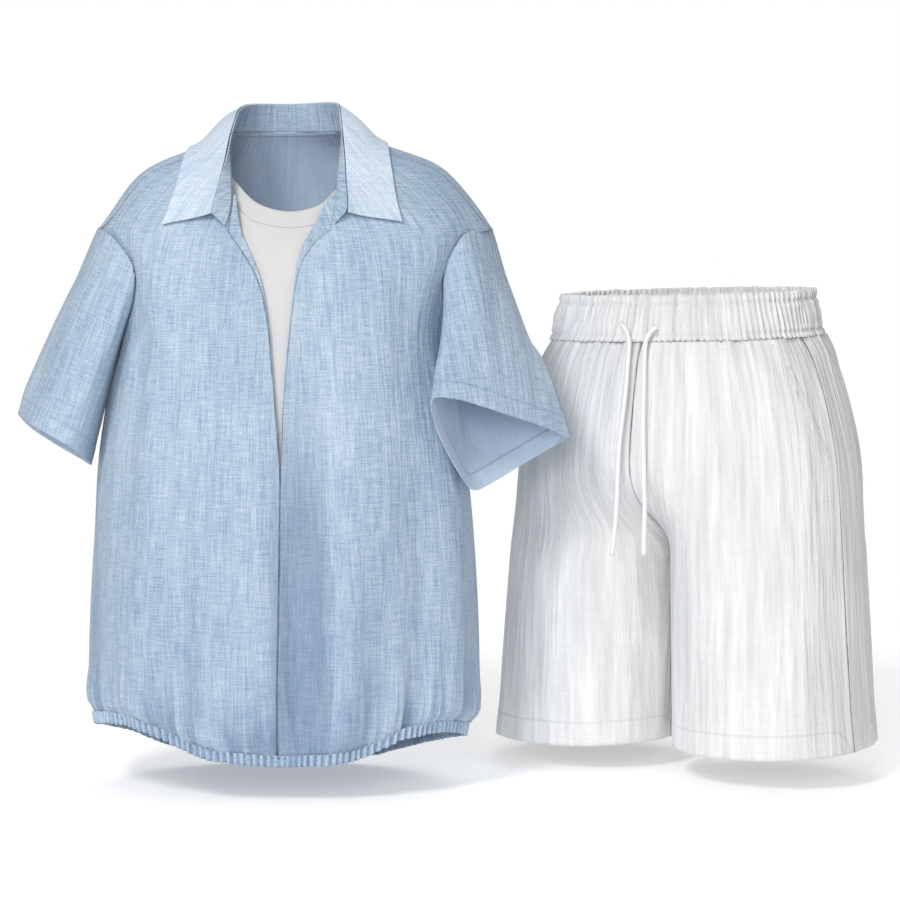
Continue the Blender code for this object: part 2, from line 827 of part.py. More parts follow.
def shorts_point(side, share, drop, front=True):
    """A point of one half: share 0 at the side seam, 1 at the middle seam or the inseam."""
    share = np.asarray(share, float)
    forward = math.radians(SIDE_SEAM_FORWARD)
    if front:
        hip_turn = forward + share * (math.pi / 2 - forward)
        leg_turn = forward + share * (math.pi - forward)
    else:
        hip_turn = forward - share * (math.pi / 2 + forward)
        leg_turn = forward - share * (math.pi + forward)
    blend = fade(drop, CROTCH_START, CROTCH) ** 1.5
    depth = SHORTS.at("hip_depth", drop)
    leg_depth = SHORTS.at("leg_depth", drop)
    hip_x, hip_y = ring_point(hip_turn, 0, SHORTS.at("half_width", drop), depth, depth)
    leg_x, leg_y = ring_point(
        leg_turn, SHORTS.at("leg_centre", drop), SHORTS.at("leg_half_width", drop), leg_depth, leg_depth
    )
    fold = np.zeros(np.broadcast(leg_turn, drop).shape)
    for degrees, top, bottom, width, rise in SHORTS_FOLDS.rows:
        along = fade(drop, top, (top + bottom) / 2)
        turn = (np.degrees(leg_turn) - degrees) / width
        fold = fold + rise * along * np.exp(-turn * turn)
    x = hip_x + (leg_x - hip_x) * blend
    y = (hip_y + (leg_y - hip_y) * blend) * (1 + fold / depth)
    return shorts_place(side * (x + SEAM_GAP / 2), y, drop)


def shorts_place(x, y, drop):
    """Turns a place of the shorts to face as they do, beside the shirt, as the view sees it."""
    cos = math.cos(SHORTS_TURN)
    sin = math.sin(SHORTS_TURN)
    place = np.stack(
        [
            SHORTS_CENTRE_X + x * cos + y * sin,
            SHORTS_CENTRE_Y - x * sin + y * cos,
            -SHORTS_DROP - drop + 0 * x,
        ],
        -1,
    )
    place[..., 2] += SHORTS_SLANT * (place[..., 0] - SHORTS_CENTRE_X)
    return seen(place + ORIGIN)


SHORTS_ROWS = (
    51.5, 64, 83, 110, 146, 181, 209, 233, 253, 270, 287, 301, 314, 340, 381, 426, 468, SHORTS_LENGTH
)
SHORTS_COLUMNS = 11


def add_shorts_panel(name, side, front):
    share = np.linspace(0, 1, SHORTS_COLUMNS)[None, :]
    drop = np.array(SHORTS_ROWS, float)[:, None]

    def point_at(first, second):
        return shorts_point(side, first, second, front)

    grid = point_at(share, drop + 0 * share)
    normals = normals_from(point_at, share, drop + 0 * share)
    middle = shorts_place(side * SHORTS.at("leg_centre", drop), 0 * drop, drop)
    if np.sum(normals * (grid - middle)) < 0:
        normals = -normals
    add_wall(name, pulled_in(grid, "start end"), normals, SHORTS_CLOTH, WHITE_CRINKLE)


for side, place in ((-1, "right"), (1, "left")):
    add_shorts_panel("shorts_front_" + place, side, True)
    add_shorts_panel("shorts_back_" + place, side, False)


def waist_ring(angle, drop, out):
    half_width = SHORTS.at("half_width", drop) + out
    depth = SHORTS.at("hip_depth", drop) + out
    x, y = ring_point(angle, 0, half_width, depth, depth)
    return shorts_place(x, y, drop)


def add_waistband():
    """A wide band gathered on elastic, with two points to each gather."""
    angle = np.linspace(0, 2 * math.pi, 2 * WAIST_GATHERS, endpoint=False)
    wave = GATHER_RISE * np.where(np.arange(len(angle)) % 2, 1, -1)
    outer = []
    normals = []
    for drop, swell in ((0.0, 0.0), (12.0, 1.2), (37.0, 1.6), (WAISTBAND_HEIGHT, 0.4)):
        inside = waist_ring(angle, drop, 0)
        outside = waist_ring(angle, drop, 1)
        normal = outside - inside
        normal /= np.linalg.norm(normal, axis=-1, keepdims=True)
        outer.append(waist_ring(angle, drop, 1.0 + swell) + normal * wave[:, None])
        normals.append(normal)
    add_wall("shorts_waistband", np.array(outer), np.array(normals), BAND_CLOTH, WHITE_CRINKLE, wrap=True)


add_waistband()

# Each slanted pocket mouth, from the waist down and back to the side seam, as shares of the front.
POCKET = Table("drop share", ((58, 0.26), (93, 0.20), (135, 0.13), (171, 0.07), (199, 0.03)))
WELT_WIDTH = 8.0


def add_pocket_welt(name, side):
    drop = np.linspace(POCKET.rows[0, 0], POCKET.rows[-1, 0], 9)
    share = POCKET.at("share", drop)
    wide = WELT_WIDTH / (0.9 * math.pi / 2 * SHORTS.at("half_width", drop))
    share = np.stack([share, share + wide], axis=1)
    drop = np.stack([drop, drop], axis=1)

    def point_at(first, second):
        return shorts_point(side, first, second, True)

    normals = normals_from(point_at, share, drop)
    hub = shorts_place(0 * drop, 0 * drop, drop)
    if np.sum(normals * (point_at(share, drop) - hub)) < 0:
        normals = -normals
    outer = point_at(share, drop) + normals * (SHORTS_CLOTH + 2 * SEAM_GAP)
    add_wall(name, outer, normals, SHORTS_CLOTH - SEAM_GAP, WHITE_CRINKLE)


add_pocket_welt("pocket_welt_right", -1)
add_pocket_welt("pocket_welt_left", 1)

# The drawcords' free ends, each from its eyelet in the waistband down to its cut end.
CORD_ROUTES = {
    "drawcord_right": (
        (368, 37.5, 209),
        (370, 32.5, 211),
        (373, 29.5, 215),
        (375.5, 26, 221),
        (377, 22.5, 229),
        (376.5, 19, 240),
        (375, 13.5, 260),
        (373, 8.5, 285),
        (370, 5, 310),
        (367, 3, 335),
        (365, 1.5, 360),
        (364, 0.5, 385),
        (363, 0, 410),
        (361, -0.5, 435),
        (358, -0.5, 464),
    ),
    "drawcord_left": (
        (407, 12.4, 213),
        (404, 11, 215),
        (400, 11.5, 219),
        (396.5, 11, 225),
        (394.5, 10, 233),
        (394, 6, 244),
        (393.5, 1, 262),
        (393, -4, 286),
        (392.5, -8, 311),
        (392.5, -11.5, 337),
        (393, -14, 362),
        (393.5, -15.5, 388),
        (394, -16, 412),
        (393.5, -16.5, 438),
        (393, -16.5, 464),
    ),
}


def add_drawcord(name, route):
    """A round cord on a smooth curve through its route."""
    route = true(np.array(route, float) * (1, 1, -1)) - ORIGIN
    length = np.concatenate([[0], np.cumsum(np.linalg.norm(np.diff(route, axis=0), axis=1))])
    count = round(length[-1] / CORD_POINT_SPACING) + 1
    where = np.linspace(0, length[-1], count)
    points = np.stack([smooth(length, route[:, axis], where) for axis in range(3)], -1) * MM
    curve = bpy.data.curves.new(name, "CURVE")
    curve.dimensions = "3D"
    curve.bevel_depth = CORD_DIAMETER / 2 * MM
    curve.bevel_resolution = 2
    curve.use_fill_caps = True
    spline = curve.splines.new("POLY")
    spline.points.add(count - 1)
    for point, place in zip(spline.points, points):
        point.co = (*place, 1)
    curve.materials.append(WHITE_CORD)
    cord = bpy.data.objects.new(name, curve)
    bpy.context.scene.collection.objects.link(cord)


for name, route in CORD_ROUTES.items():
    add_drawcord(name, route)
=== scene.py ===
import math

import bmesh
import bpy
import numpy as np
from mathutils import Matrix, Vector
from mathutils.bvhtree import BVHTree
from mathutils.kdtree import KDTree


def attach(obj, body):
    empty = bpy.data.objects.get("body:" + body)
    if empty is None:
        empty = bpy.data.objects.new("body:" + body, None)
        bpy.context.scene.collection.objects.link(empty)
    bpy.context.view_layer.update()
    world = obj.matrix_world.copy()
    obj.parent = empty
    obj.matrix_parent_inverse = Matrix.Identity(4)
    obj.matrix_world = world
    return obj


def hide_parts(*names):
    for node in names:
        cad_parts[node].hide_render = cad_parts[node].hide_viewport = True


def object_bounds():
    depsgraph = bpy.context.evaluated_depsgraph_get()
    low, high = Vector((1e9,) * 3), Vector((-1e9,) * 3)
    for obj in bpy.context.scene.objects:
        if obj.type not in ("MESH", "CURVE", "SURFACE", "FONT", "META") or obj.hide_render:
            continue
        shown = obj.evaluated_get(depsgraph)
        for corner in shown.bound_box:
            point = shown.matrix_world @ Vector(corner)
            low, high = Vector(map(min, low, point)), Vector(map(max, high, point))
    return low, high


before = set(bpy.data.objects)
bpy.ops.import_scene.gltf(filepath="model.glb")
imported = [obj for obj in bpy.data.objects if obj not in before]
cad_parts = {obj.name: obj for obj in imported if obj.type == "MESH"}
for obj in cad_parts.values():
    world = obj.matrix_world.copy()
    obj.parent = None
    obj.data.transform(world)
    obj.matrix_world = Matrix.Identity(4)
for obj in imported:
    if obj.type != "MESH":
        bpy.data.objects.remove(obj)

cad_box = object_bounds()

# The picture is taken from straight ahead of the shirt, 3.2 m away and looking down by 5 degrees.
# Soft lights stand to the upper left, the right, behind and by the camera. The room is white and
# its floor is pale.
bpy.ops.object.select_all(action="DESELECT")
bpy.ops.object.camera_add(location=(0.1783, -3.1878, -0.0671), rotation=(math.radians(85), 0, 0))
camera = bpy.context.object
camera.name = "picture_camera"
camera.data.type = "PERSP"
camera.data.sensor_width = 36
camera.data.lens = 116.36
camera.data.dof.use_dof = False
bpy.context.scene.camera = camera
bpy.context.scene.view_settings.view_transform = "Standard"


def soft_light(name, place, size, energy, colour):
    """A large square light that looks at the middle of the set."""
    towards = Vector((0.15, 0, -0.35)) - Vector(place)
    turn = towards.to_track_quat("-Z", "Y").to_euler()
    bpy.ops.object.light_add(type="AREA", location=place, rotation=turn)
    light = bpy.context.object
    light.name = name
    light.data.shape = "SQUARE"
    light.data.size = size
    light.data.energy = energy
    light.data.color = colour


soft_light("window_left", (-1.35, -2.8, 2.2), 1.0, 74, (1, 1, 1))
soft_light("window_right", (2.6, -2.0, 0.8), 2.0, 6, (1, 1, 1))
soft_light("beside_camera", (-0.1, -3.0, 0.5), 0.9, 28, (1, 1, 1))
soft_light("window_behind", (0.6, 3.0, 1.9), 2.0, 30, (1, 1, 1))

room = bpy.data.worlds.new("white_room")
bpy.context.scene.world = room
room.use_nodes = True
room_tree = room.node_tree
room_tree.nodes["Background"].inputs["Color"].default_value = (1, 1, 1, 1)
room_tree.nodes["Background"].inputs["Strength"].default_value = 1.0
dim = room_tree.nodes.new("ShaderNodeBackground")
dim.inputs["Color"].default_value = (1, 1, 1, 1)
dim.inputs["Strength"].default_value = 0.38
rays = room_tree.nodes.new("ShaderNodeLightPath")
either = room_tree.nodes.new("ShaderNodeMixShader")
room_tree.links.new(rays.outputs["Is Camera Ray"], either.inputs[0])
room_tree.links.new(dim.outputs[0], either.inputs[1])
room_tree.links.new(room_tree.nodes["Background"].outputs[0], either.inputs[2])
room_tree.links.new(either.outputs[0], room_tree.nodes["World Output"].inputs["Surface"])


class Wire:
    """One socket of a material. Sums on it add Math nodes, and node() adds any other node."""

    def __init__(self, tree, socket=None):
        self.tree = tree
        self.socket = socket

    def node(self, kind, settings=(), inputs=(), out=0):
        """Adds a node with these settings and inputs, and gives a wire from one of its outputs."""
        made = self.tree.nodes.new(kind)
        for name, value in dict(settings).items():
            if name == "stops":
                ramp = made.color_ramp
                while len(ramp.elements) < len(value):
                    ramp.elements.new(0.5)
                for stop, (place, colour) in zip(ramp.elements, value):
                    stop.position = place
                    stop.color = colour
            else:
                setattr(made, name, value)
        for name, value in dict(inputs).items():
            if isinstance(value, Wire):
                self.tree.links.new(value.socket, made.inputs[name])
            else:
                made.inputs[name].default_value = value
        return Wire(self.tree, made.outputs[out])

    def math(self, operation, first, second):
        return self.node("ShaderNodeMath", {"operation": operation}, {0: first, 1: second})

    def __add__(self, other):
        return self.math("ADD", self, other)

    def __mul__(self, other):
        return self.math("MULTIPLY", self, other)

    def __sub__(self, other):
        return self.math("SUBTRACT", self, other)


def new_finish(name):
    """A new material: its name, its shader, and a wire to draw the first nodes from."""
    finish = bpy.data.materials.new(name)
    finish.use_nodes = True
    shader = finish.node_tree.nodes["Principled BSDF"]
    return finish, shader, Wire(finish.node_tree)


def feed(shader, socket, wire):
    """Links a wire to one of the shader's sockets."""
    wire.tree.links.new(wire.socket, shader.inputs[socket])


floor_finish, floor_shader, wire = new_finish("pale_floor")
place = wire.node("ShaderNodeTexCoord", out="Object")
far = wire.node("ShaderNodeVectorMath", {"operation": "LENGTH"}, {0: place}, out="Value")
seen = wire.node("ShaderNodeMapRange", {"interpolation_type": "SMOOTHSTEP"},
                 {"Value": far, "From Min": 0.7, "From Max": 2.6, "To Min": 1.0, "To Max": 0.0})
floor_shader.inputs["Base Color"].default_value = (0.97, 0.97, 0.97, 1)
floor_shader.inputs["Roughness"].default_value = 0.9
floor_shader.inputs["Specular IOR Level"].default_value = 0.1
floor_shader.inputs["Emission Color"].default_value = (1, 1, 1, 1)
floor_shader.inputs["Emission Strength"].default_value = 0.32
feed(floor_shader, "Alpha", seen)

bpy.ops.object.select_all(action="DESELECT")
bpy.ops.mesh.primitive_circle_add(vertices=96, radius=2.8, fill_type="NGON", location=(0, 0, 0))
floor = bpy.context.object
floor.name = "pale_floor_disc"
bpy.ops.object.mode_set(mode="EDIT")
bpy.ops.mesh.select_all(action="SELECT")
bpy.ops.transform.translate(value=(0.18, 0.1, cad_box[0][2] - 0.001))
bpy.ops.object.mode_set(mode="OBJECT")
floor.data.materials.append(floor_finish)

# The drawcord's two free ends: round braided white cord, 5.4 mm thick. Each comes out of an
# eyelet in the front of the waistband and hangs to its plain cut end in front of the shorts.
CORD_THICKNESS = 0.0054
CORD_ROUTES = {
    "drawcord_right": (
        (0.3678, 0.0375, -0.2087),
        (0.3695, 0.0325, -0.2105),
        (0.3724, 0.0295, -0.2144),
        (0.3747, 0.0260, -0.2202),
        (0.3761, 0.0225, -0.2281),
        (0.3754, 0.0190, -0.2390),
        (0.3737, 0.0135, -0.2587),
        (0.3715, 0.0085, -0.2835),
        (0.3684, 0.0050, -0.3083),
        (0.3654, 0.0030, -0.3332),
        (0.3635, 0.0015, -0.3582),
        (0.3625, 0.0005, -0.3833),
        (0.3616, 0.0000, -0.4084),
        (0.3597, -0.0005, -0.4335),
        (0.3568, -0.0005, -0.4628),
    ),
    "drawcord_left": (
        (0.4053, 0.0124, -0.2116),
        (0.4023, 0.0110, -0.2135),
        (0.3983, 0.0115, -0.2175),
        (0.3948, 0.0110, -0.2235),
        (0.3928, 0.0100, -0.2315),
        (0.3921, 0.0060, -0.2423),
        (0.3914, 0.0010, -0.2600),
        (0.3907, -0.0040, -0.2836),
        (0.3901, -0.0080, -0.3083),
        (0.3900, -0.0115, -0.3340),
        (0.3904, -0.0140, -0.3588),
        (0.3910, -0.0155, -0.3847),
        (0.3916, -0.0160, -0.4087),
        (0.3912, -0.0165, -0.4347),
        (0.3909, -0.0165, -0.4608),
    ),
}


def pick(piece):
    """Makes a piece the only one selected, and the active one."""
    bpy.ops.object.select_all(action="DESELECT")
    bpy.context.view_layer.objects.active = piece
    piece.select_set(True)


def thread_map(piece, across, along, whole):
    """Gives the piece a UV map in metres, across and along its threads; a turn is whole metres."""
    mesh = piece.data
    layer = mesh.uv_layers.get("threads") or mesh.uv_layers.new(name="threads")
    corners = np.empty(len(mesh.loops), np.int64)
    mesh.loops.foreach_get("vertex_index", corners)
    starts = np.empty(len(mesh.polygons), np.int64)
    mesh.polygons.foreach_get("loop_start", starts)
    sizes = np.empty(len(mesh.polygons), np.int64)
    mesh.polygons.foreach_get("loop_total", sizes)
    u = across[corners]
    first = np.repeat(u[starts], sizes)
    u = u - whole * np.round((u - first) / whole)
    layer.data.foreach_set("uv", np.stack([u, along[corners]], -1).astype(np.float32).ravel())


def blend(wire, share, first, second):
    """A colour that goes from the first to the second as the share goes from 0 to 1."""
    return wire.node("ShaderNodeMix", {"data_type": "RGBA"}, {0: share, 6: first, 7: second}, out=2)


def relief(wire, height, strength, distance, under=None):
    """The way a surface faces with this height on it, over an earlier relief if one is given."""
    inputs = {"Strength": strength, "Distance": distance, "Height": height}
    if under:
        inputs["Normal"] = under
    return wire.node("ShaderNodeBump", {}, inputs)


def cord_finish():
    """White braided cotton: a fine herringbone of strands, seen as small slanted ridges."""
    finish, shader, wire = new_finish("white_braided_cord")
    uv = wire.node("ShaderNodeUVMap", {"uv_map": "threads"})
    across = wire.node("ShaderNodeSeparateXYZ", inputs={0: uv})
    down = wire.node("ShaderNodeSeparateXYZ", inputs={0: uv}, out=1)
    strands = wire.math("SINE", down * 2600 + across * 2200, 0)
    counter = wire.math("SINE", down * 2600 - across * 2200, 0)
    braid = wire.math("MAXIMUM", strands, counter)
    fuzz = wire.node("ShaderNodeTexNoise", {}, {"Vector": uv, "Scale": 900.0, "Detail": 3.0})
    shade = blend(wire, braid * 0.35 + fuzz * 0.5, (0.80, 0.80, 0.80, 1), (0.97, 0.97, 0.97, 1))
    feed(shader, "Base Color", shade)
    shader.inputs["Roughness"].default_value = 0.85
    shader.inputs["Sheen Weight"].default_value = 0.2
    feed(shader, "Normal", relief(wire, braid * 0.6 + fuzz * 0.4, 0.6, 0.0004))
    return finish


CORD_WHITE = cord_finish()
for name, route in CORD_ROUTES.items():
    bpy.ops.object.select_all(action="DESELECT")
    bpy.ops.curve.primitive_bezier_curve_add(location=(0, 0, 0))
    cord = bpy.context.object
    cord.name = "braided_" + name
    spline = cord.data.splines[0]
    spline.bezier_points.add(len(route) - 2)
    for point, place in zip(spline.bezier_points, route):
        point.co = place
        point.handle_left_type = "AUTO"
        point.handle_right_type = "AUTO"
    cord.data.dimensions = "3D"
    cord.data.resolution_u = 8
    cord.data.bevel_depth = CORD_THICKNESS / 2
    cord.data.bevel_resolution = 4
    cord.data.use_fill_caps = True
    pick(cord)
    bpy.ops.object.convert(target="MESH")
    cord = bpy.context.object
    bpy.ops.object.mode_set(mode="EDIT")
    bpy.ops.mesh.select_all(action="SELECT")
    bpy.ops.mesh.remove_doubles(threshold=0.00005)
    bpy.ops.object.mode_set(mode="OBJECT")
    middle = np.array(route)
    travelled = np.concatenate([[0], np.cumsum(np.linalg.norm(np.diff(middle, axis=0), axis=1))])
    fine = np.linspace(0, travelled[-1], 400)
    line = np.stack([np.interp(fine, travelled, middle[:, axis]) for axis in range(3)], -1)
    points = np.empty(len(cord.data.vertices) * 3)
    cord.data.vertices.foreach_get("co", points)
    points = points.reshape(-1, 3)
    nearest = np.linalg.norm(points[:, None] - line[None], axis=-1).argmin(axis=1)
    around = np.arctan2(points[:, 0] - line[nearest, 0], line[nearest, 1] - points[:, 1])
    girth = math.pi * CORD_THICKNESS
    thread_map(cord, around / (2 * math.pi) * girth, fine[nearest], girth)
    cord.data.materials.clear()
    cord.data.materials.append(CORD_WHITE)
    pick(cord)
    bpy.ops.object.shade_smooth()
    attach(cord, "root")
    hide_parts(name)

# The shirt's two fronts and its back: one light blue crinkle chambray, woven from blue and white
# yarns with slubs. The cloth hangs in soft upright folds and puckers above the elastic hem.
BODY_MIDDLE = (-0.004, 0.0)
BODY_HALF_WIDTH = 0.205
BODY_DEPTH = 0.124
SHARP = math.radians(66)
WALL_MOST = 0.0035
SEAM_CLOSING = 0.00020
SAME_PLACE = 0.00002
LONG_EDGE = 0.006
rims = {}


def rim_of(work):
    """The faces of a shell's rim, and the outer wall's edge as loops of places and ways out."""
    sharp = {edge for edge in work.edges if edge.is_manifold and edge.calc_face_angle() > SHARP}
    rim = set()
    for face in work.faces:
        sides = list(face.edges)
        for one, other in ((0, 2), (1, 3)):
            if len(sides) == 4 and sides[one] in sharp and sides[other] in sharp:
                first = sides[one].verts[0].co + sides[one].verts[1].co
                second = sides[other].verts[0].co + sides[other].verts[1].co
                if (first - second).length / 2 < WALL_MOST:
                    rim.add(face)
    walls = []
    left = set(work.faces) - rim
    while left:
        wall = {left.pop()}
        edge_of_wall = list(wall)
        while edge_of_wall:
            for edge in edge_of_wall.pop().edges:
                for face in edge.link_faces:
                    if face in left:
                        left.remove(face)
                        wall.add(face)
                        edge_of_wall.append(face)
        walls.append(wall)
    outer = max(walls, key=lambda wall: sum(face.calc_area() for face in wall))
    steps = {}
    for edge in sharp:
        faces = set(edge.link_faces)
        if faces & rim and faces & outer:
            steps.setdefault(edge.verts[0], []).append(edge.verts[1])
            steps.setdefault(edge.verts[1], []).append(edge.verts[0])
    loops = []
    while steps:
        here = next(iter(steps))
        loop = []
        while here is not None:
            way = Vector()
            for face in here.link_faces:
                if face in rim:
                    way += face.normal
            loop.append((here.co.copy(), way.normalized()))
            ahead = [vert for vert in steps.pop(here) if vert in steps]
            here = ahead[0] if ahead else None
        loops.append(loop)
    return rim, loops


def cloth_copy(node, name, levels, extra_cuts=0, closing=SEAM_CLOSING):
    """A copy of a soft solid's shell, welded into quads and smoothed, with its rim kept square.

    Its rim moves out a little, so that sewn pieces meet where the solids leave a seam's gap.
    """
    piece = bpy.data.objects.new(name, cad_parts[node].data.copy())
    bpy.context.scene.collection.objects.link(piece)
    pick(piece)
    bpy.ops.object.mode_set(mode="EDIT")
    bpy.ops.mesh.select_all(action="SELECT")
    bpy.ops.mesh.remove_doubles(threshold=SAME_PLACE)
    bpy.ops.mesh.tris_convert_to_quads(face_threshold=math.radians(50), shape_threshold=math.radians(100))
    bpy.ops.object.mode_set(mode="OBJECT")
    work = bmesh.new()
    work.from_mesh(piece.data)
    work.normal_update()
    rim, rims[node] = rim_of(work)
    ways = {}
    for face in rim:
        for vert in face.verts:
            ways.setdefault(vert, Vector())
            ways[vert] += face.normal
    for vert, way in ways.items():
        vert.co += way.normalized() * closing
    if extra_cuts:
        level = []
        for edge in work.edges:
            way = edge.verts[1].co - edge.verts[0].co
            if way.length > LONG_EDGE and abs(way.z) < 0.55 * way.length:
                level.append(edge)
        bmesh.ops.subdivide_edges(work, edges=level, cuts=extra_cuts, use_grid_fill=False)
    work.to_mesh(piece.data)
    work.free()
    bpy.ops.object.mode_set(mode="EDIT")
    bpy.ops.mesh.select_mode(type="EDGE")
    bpy.ops.mesh.select_all(action="DESELECT")
    bpy.ops.mesh.edges_select_sharp(sharpness=SHARP)
    bpy.ops.transform.edge_crease(value=1)
    bpy.ops.mesh.select_all(action="SELECT")
    bpy.ops.mesh.mark_sharp(clear=True)
    bpy.ops.object.mode_set(mode="OBJECT")
    smooth = piece.modifiers.new("smooth", "SUBSURF")
    smooth.levels = levels
    smooth.render_levels = levels
    bpy.ops.object.modifier_apply(modifier=smooth.name)
    piece.data.materials.clear()
    while piece.data.uv_layers:
        piece.data.uv_layers.remove(piece.data.uv_layers[0])
    return piece


trees = {}
for node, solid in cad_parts.items():
    corners = [vert.co for vert in solid.data.vertices]
    trees[node] = BVHTree.FromPolygons(corners, [face.vertices for face in solid.data.polygons])


def seam_runs(node, others, reach=0.0032):
    """The stretches of a piece's edge that lie against these nodes; with none named, its free edge."""
    against = [trees[other] for other in others or trees if other != node]
    runs = []
    for loop in rims[node]:
        touch = []
        for place, way in loop:
            found = any(tree.find_nearest(place, reach)[0] is not None for tree in against)
            touch.append(found == bool(others))
        if all(touch):
            runs.append(loop + loop[:1])
            continue
        first = touch.index(False)
        run = []
        for step in range(len(loop) + 1):
            at = (first + step) % len(loop)
            if touch[at]:
                run.append(loop[at])
            if not touch[at] or step == len(loop):
                if len(run) > 1:
                    runs.append(run)
                run = []
    return runs


def evenly(run, spacing, inset=0.0):
    """Points at even steps along a run, moved in from the edge by the inset."""
    places = np.array([place - way * inset for place, way in run])
    gone = np.concatenate([[0], np.cumsum(np.linalg.norm(np.diff(places, axis=0), axis=1))])
    count = max(int(gone[-1] / spacing), 1)
    at = np.linspace(0, gone[-1], count + 1)
    return np.stack([np.interp(at, gone, places[:, axis]) for axis in range(3)], -1)


FAR = 9.0


def mark(piece, name, values):
    """Stores a value for each point of the piece, for its material to read."""
    layer = piece.data.attributes.new(name, "FLOAT", "POINT")
    layer.data.foreach_set("value", np.asarray(values, np.float32))


def mark_distance(piece, name, runs, scale=1.0):
    """Stores how far each point is from these runs, for the material to draw its lines by."""
    dense = [evenly(run, 0.0015) for run in runs]
    distance = np.full(len(piece.data.vertices), FAR, np.float32)
    if dense:
        dense = np.concatenate(dense)
        tree = KDTree(len(dense))
        for index, place in enumerate(dense):
            tree.insert(place, index)
        tree.balance()
        for vert in piece.data.vertices:
            distance[vert.index] = tree.find(vert.co)[2] / scale
    mark(piece, name, distance)
    return distance


def mark_inner(piece, out):
    """Marks the points of the cloth's wrong side, which faces into the garment, for the material to paint
    light on.
    """
    normals = np.empty(len(piece.data.vertices) * 3, np.float32)
    piece.data.vertices.foreach_get("normal", normals)
    facing = (normals.reshape(-1, 3) * out).sum(axis=-1)
    mark(piece, "inner", np.clip(-4 * facing, 0, 1))


def points_of(piece):
    """The places of the piece's points, as an array with a row for each."""
    points = np.empty(len(piece.data.vertices) * 3)
    piece.data.vertices.foreach_get("co", points)
    return points.reshape(-1, 3)


def move_to(piece, points):
    """Moves the piece's points to these places."""
    piece.data.vertices.foreach_set("co", points.ravel())
    piece.data.update()


class Round:
    """How a garment's tube goes round: shares of a turn from its front, sizes and ways out."""

    def __init__(self, middle, half_width, depth, turn=Matrix.Identity(3)):
        self.middle = np.array([*middle, 0.0][:3], float)
        self.half_width = half_width
        self.depth = depth
        self.turn = np.array(turn)
        angle = np.linspace(-math.pi, math.pi, 361)
        ring = np.stack([half_width * np.sin(angle), -depth * np.cos(angle)], -1)
        step = np.linalg.norm(np.diff(ring, axis=0), axis=1)
        self.girth = step.sum()
        self.angle = angle
        self.travelled = np.concatenate([[0], np.cumsum(step)]) / self.girth

    def local(self, points):
        return (points - self.middle) @ self.turn

    def share(self, points):
        place = self.local(points)
        angle = np.arctan2(place[:, 0] / self.half_width, -place[:, 1] / self.depth)
        return np.interp(angle, self.angle, self.travelled)

    def along(self, points):
        return self.local(points)[:, 2]

    def out(self, points):
        place = self.local(points)
        way = np.stack(
            [place[:, 0] / self.half_width**2, place[:, 1] / self.depth**2, 0 * place[:, 0]], -1
        )
        way /= np.linalg.norm(way, axis=-1, keepdims=True) + 1e-9
        return way @ self.turn.T


def rumple(share, along, count, tall, seed):
    """Smooth uneven waves from -1 to 1: so many round the tube, each about so tall."""
    x = share * count
    y = along / tall + 9.7 * seed
    left = np.floor(x)
    low = np.floor(y)
    fx = x - left
    fy = y - low
    fx = fx * fx * (3 - 2 * fx)
    fy = fy * fy * (3 - 2 * fy)

    def knot(i, j):
        spread = np.sin((i % count) * 127.1 + j * 311.7 + seed * 74.7) * 43758.5453
        return 2 * (spread - np.floor(spread)) - 1

    bottom = knot(left, low) * (1 - fx) + knot(left + 1, low) * fx
    top = knot(left, low + 1) * (1 - fx) + knot(left + 1, low + 1) * fx
    return bottom * (1 - fy) + top * fy


def ramp(value, start, end):
    """0 at start, 1 at end, with an even change between."""
    t = np.clip((value - start) / (end - start), 0, 1)
    return t * t * (3 - 2 * t)


# How many waves go round the tube, how tall each is, and where in their pattern they start.
BROAD_FOLDS = (19, 0.50, 3)
SMALL_FOLDS = (41, 0.22, 5)
GATHERS = (62, 0.18, 7)
PUCKERS = (104, 0.09, 11)
BODY = Round(BODY_MIDDLE, BODY_HALF_WIDTH, BODY_DEPTH)
band_points = points_of(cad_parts["shirt_hem_band"])
band_share = BODY.share(band_points)
HEM_STATIONS = np.linspace(0, 1, 97)
hem_height = []
for station in HEM_STATIONS:
    near = np.abs((band_share - station + 0.5) % 1 - 0.5) < 0.009
    hem_height.append(band_points[near, 2].max())
HEM_HEIGHT = np.array(hem_height)


def above_hem(points):
    return points[:, 2] - np.interp(BODY.share(points), HEM_STATIONS, HEM_HEIGHT)


def body_rise(points):
    """How far each point of the shirt's body stands out: folds, and puckers over the elastic."""
    share = BODY.share(points)
    z = points[:, 2]
    above = np.maximum(above_hem(points), 0)
    low = 1 - 0.75 * ramp(z, -0.44, -0.20) - 0.25 * ramp(z, -0.20, -0.08)
    rise = 0.0105 * low * rumple(share, z, *BROAD_FOLDS)
    rise += 0.0032 * ramp(-z, 0.10, 0.24) * rumple(share, z, *SMALL_FOLDS)
    rise += 0.0055 * np.exp(-above / 0.085) * rumple(share, z, *GATHERS)
    pucker = rumple(share, z, *PUCKERS)
    rise += 0.0056 * np.exp(-above / 0.040) * (1 - 2 * np.abs(pucker))
    rise += 0.0024 * np.exp(-(((above - 0.024) / 0.02) ** 2)) - 0.0022 * np.exp(-above / 0.006)
    return rise


